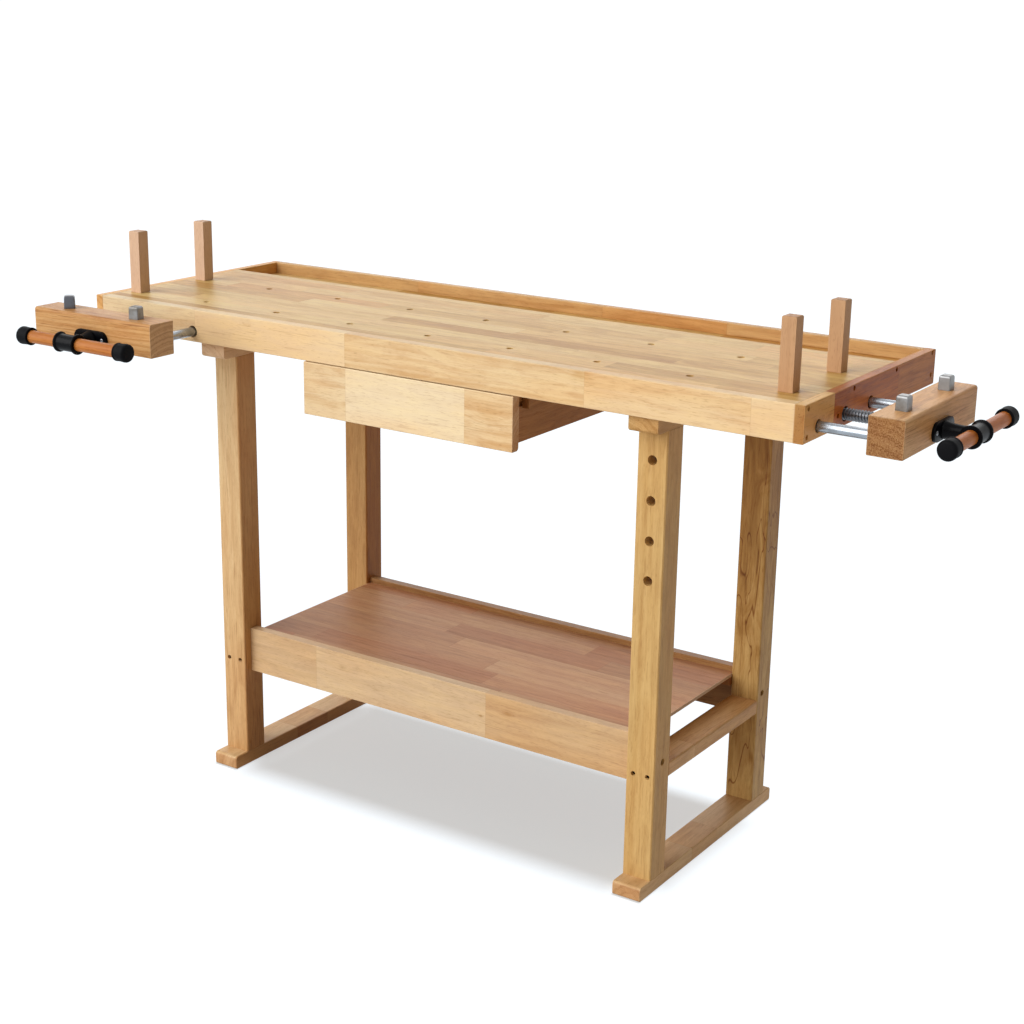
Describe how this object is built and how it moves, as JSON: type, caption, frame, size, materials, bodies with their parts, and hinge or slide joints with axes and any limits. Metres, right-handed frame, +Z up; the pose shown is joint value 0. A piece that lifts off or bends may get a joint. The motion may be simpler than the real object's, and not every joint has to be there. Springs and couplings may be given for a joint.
{
  "type": "woodworking bench",
  "caption": "Solid-wood woodworking bench with a front vise, an end vise, a drawer, a rear tool tray, a low shelf, dog holes and bench dogs.",
  "frame": {"origin": "on the floor, under the centre of the bench top", "axes": "+Z up, +X along the top towards the end vise, the front with the drawer and the front vise faces -Y"},
  "size_m": [1.6172, 0.7072, 0.9712],
  "materials": {
    "top_wood": "satin",
    "honey_wood": "satin",
    "frame_wood": "satin",
    "shelf_wood": "satin",
    "inner_wood": "satin",
    "jaw_wood": "satin",
    "dog_wood": "satin",
    "handle_wood": "satin",
    "black_metal": "gloss",
    "rod_steel": "satin",
    "dog_steel": "satin",
    "black_rubber": "matt"
  },
  "bodies": {
    "bench": {"top_slab": "top_wood", "front_apron": "honey_wood", "end_cap_left": "honey_wood", "end_cap_right": "honey_wood", "rear_rail": "honey_wood", "tray_bottom": "top_wood", "tray_battens": "inner_wood", "top_bearer_left": "frame_wood", "top_bearer_right": "frame_wood", "foot_left": "frame_wood", "foot_right": "frame_wood", "leg_front_left": "frame_wood", "leg_rear_left": "frame_wood", "leg_front_right": "frame_wood", "leg_rear_right": "frame_wood", "side_rail_left": "frame_wood", "side_rail_right": "frame_wood", "top_rail_left": "frame_wood", "top_rail_right": "frame_wood", "front_stretcher": "frame_wood", "rear_stretcher": "frame_wood", "shelf_board": "shelf_wood", "shelf_cleats": "inner_wood", "drawer_hanger_left": "inner_wood", "drawer_hanger_right": "inner_wood", "front_vise_guide_block": "inner_wood", "front_vise_nut": "black_metal", "end_vise_guide_block": "inner_wood", "end_vise_nut": "black_metal"},
    "drawer": {"drawer_front": "honey_wood", "drawer_side_left": "inner_wood", "drawer_side_right": "inner_wood", "drawer_back": "inner_wood", "drawer_bottom": "inner_wood"},
    "front_jaw": {"front_vise_jaw": "jaw_wood", "front_vise_flange": "black_metal", "front_vise_guide_rods": "rod_steel"},
    "front_screw": {"front_vise_screw": "rod_steel", "front_vise_screw_head": "black_metal"},
    "front_handle": {"front_vise_handle": "handle_wood", "front_vise_handle_caps": "black_rubber"},
    "end_jaw": {"end_vise_jaw": "jaw_wood", "end_vise_flange": "black_metal", "end_vise_guide_rods": "rod_steel"},
    "end_screw": {"end_vise_screw": "rod_steel", "end_vise_screw_head": "black_metal"},
    "end_handle": {"end_vise_handle": "handle_wood", "end_vise_handle_caps": "black_rubber"},
    "front_jaw_dog_left": {"front_jaw_dog_left": "dog_steel"},
    "front_jaw_dog_right": {"front_jaw_dog_right": "dog_steel"},
    "end_jaw_dog_front": {"end_jaw_dog_front": "dog_steel"},
    "end_jaw_dog_rear": {"end_jaw_dog_rear": "dog_steel"},
    "wooden_dog_front_left": {"wooden_dog_front_left": "dog_wood"},
    "wooden_dog_rear_left": {"wooden_dog_rear_left": "dog_wood"},
    "wooden_dog_front_right": {"wooden_dog_front_right": "dog_wood"},
    "wooden_dog_rear_right": {"wooden_dog_rear_right": "dog_wood"}
  },
  "joints": [
    {"name": "drawer_slide", "type": "slide", "parent": "bench", "child": "drawer", "axis": [0, -1, 0], "range_m": [0, 0.3]},
    {"name": "front_jaw_slide", "type": "slide", "parent": "bench", "child": "front_jaw", "axis": [0, -1, 0], "range_m": [-0.0925, 0.0575]},
    {"name": "front_screw_spin", "type": "hinge", "parent": "front_jaw", "child": "front_screw", "pos_m": [-0.559, -0.445, 0.821], "axis": [0, -1, 0], "continuous": true},
    {"name": "front_handle_slide", "type": "slide", "parent": "front_screw", "child": "front_handle", "axis": [1, 0, 0], "range_m": [-0.09, 0.066]},
    {"name": "end_jaw_slide", "type": "slide", "parent": "bench", "child": "end_jaw", "axis": [1, 0, 0], "range_m": [-0.0925, 0.0575]},
    {"name": "end_screw_spin", "type": "hinge", "parent": "end_jaw", "child": "end_screw", "pos_m": [0.9, -0.104, 0.821], "axis": [1, 0, 0], "continuous": true},
    {"name": "end_handle_slide", "type": "slide", "parent": "end_screw", "child": "end_handle", "axis": [0, 1, 0], "range_m": [-0.09, 0.066]},
    {"name": "front_jaw_dog_left_lift", "type": "slide", "parent": "front_jaw", "child": "front_jaw_dog_left", "axis": [0, 0, 1], "range_m": [0, 0.03]},
    {"name": "front_jaw_dog_right_lift", "type": "slide", "parent": "front_jaw", "child": "front_jaw_dog_right", "axis": [0, 0, 1], "range_m": [0, 0.03]},
    {"name": "end_jaw_dog_front_lift", "type": "slide", "parent": "end_jaw", "child": "end_jaw_dog_front", "axis": [0, 0, 1], "range_m": [0, 0.03]},
    {"name": "end_jaw_dog_rear_lift", "type": "slide", "parent": "end_jaw", "child": "end_jaw_dog_rear", "axis": [0, 0, 1], "range_m": [0, 0.03]},
    {"name": "wooden_dog_front_left_lift", "type": "slide", "parent": "bench", "child": "wooden_dog_front_left", "axis": [0, 0, 1], "range_m": [0, 0.03]},
    {"name": "wooden_dog_rear_left_lift", "type": "slide", "parent": "bench", "child": "wooden_dog_rear_left", "axis": [0, 0, 1], "range_m": [0, 0.03]},
    {"name": "wooden_dog_front_right_lift", "type": "slide", "parent": "bench", "child": "wooden_dog_front_right", "axis": [0, 0, 1], "range_m": [0, 0.03]},
    {"name": "wooden_dog_rear_right_lift", "type": "slide", "parent": "bench", "child": "wooden_dog_rear_right", "axis": [0, 0, 1], "range_m": [0, 0.03]}
  ],
  "couplings": [
    {"joint": "front_screw_spin", "follows": "front_jaw_slide", "rad_per_m": 1256.6},
    {"joint": "end_screw_spin", "follows": "end_jaw_slide", "rad_per_m": 1256.6}
  ]
}
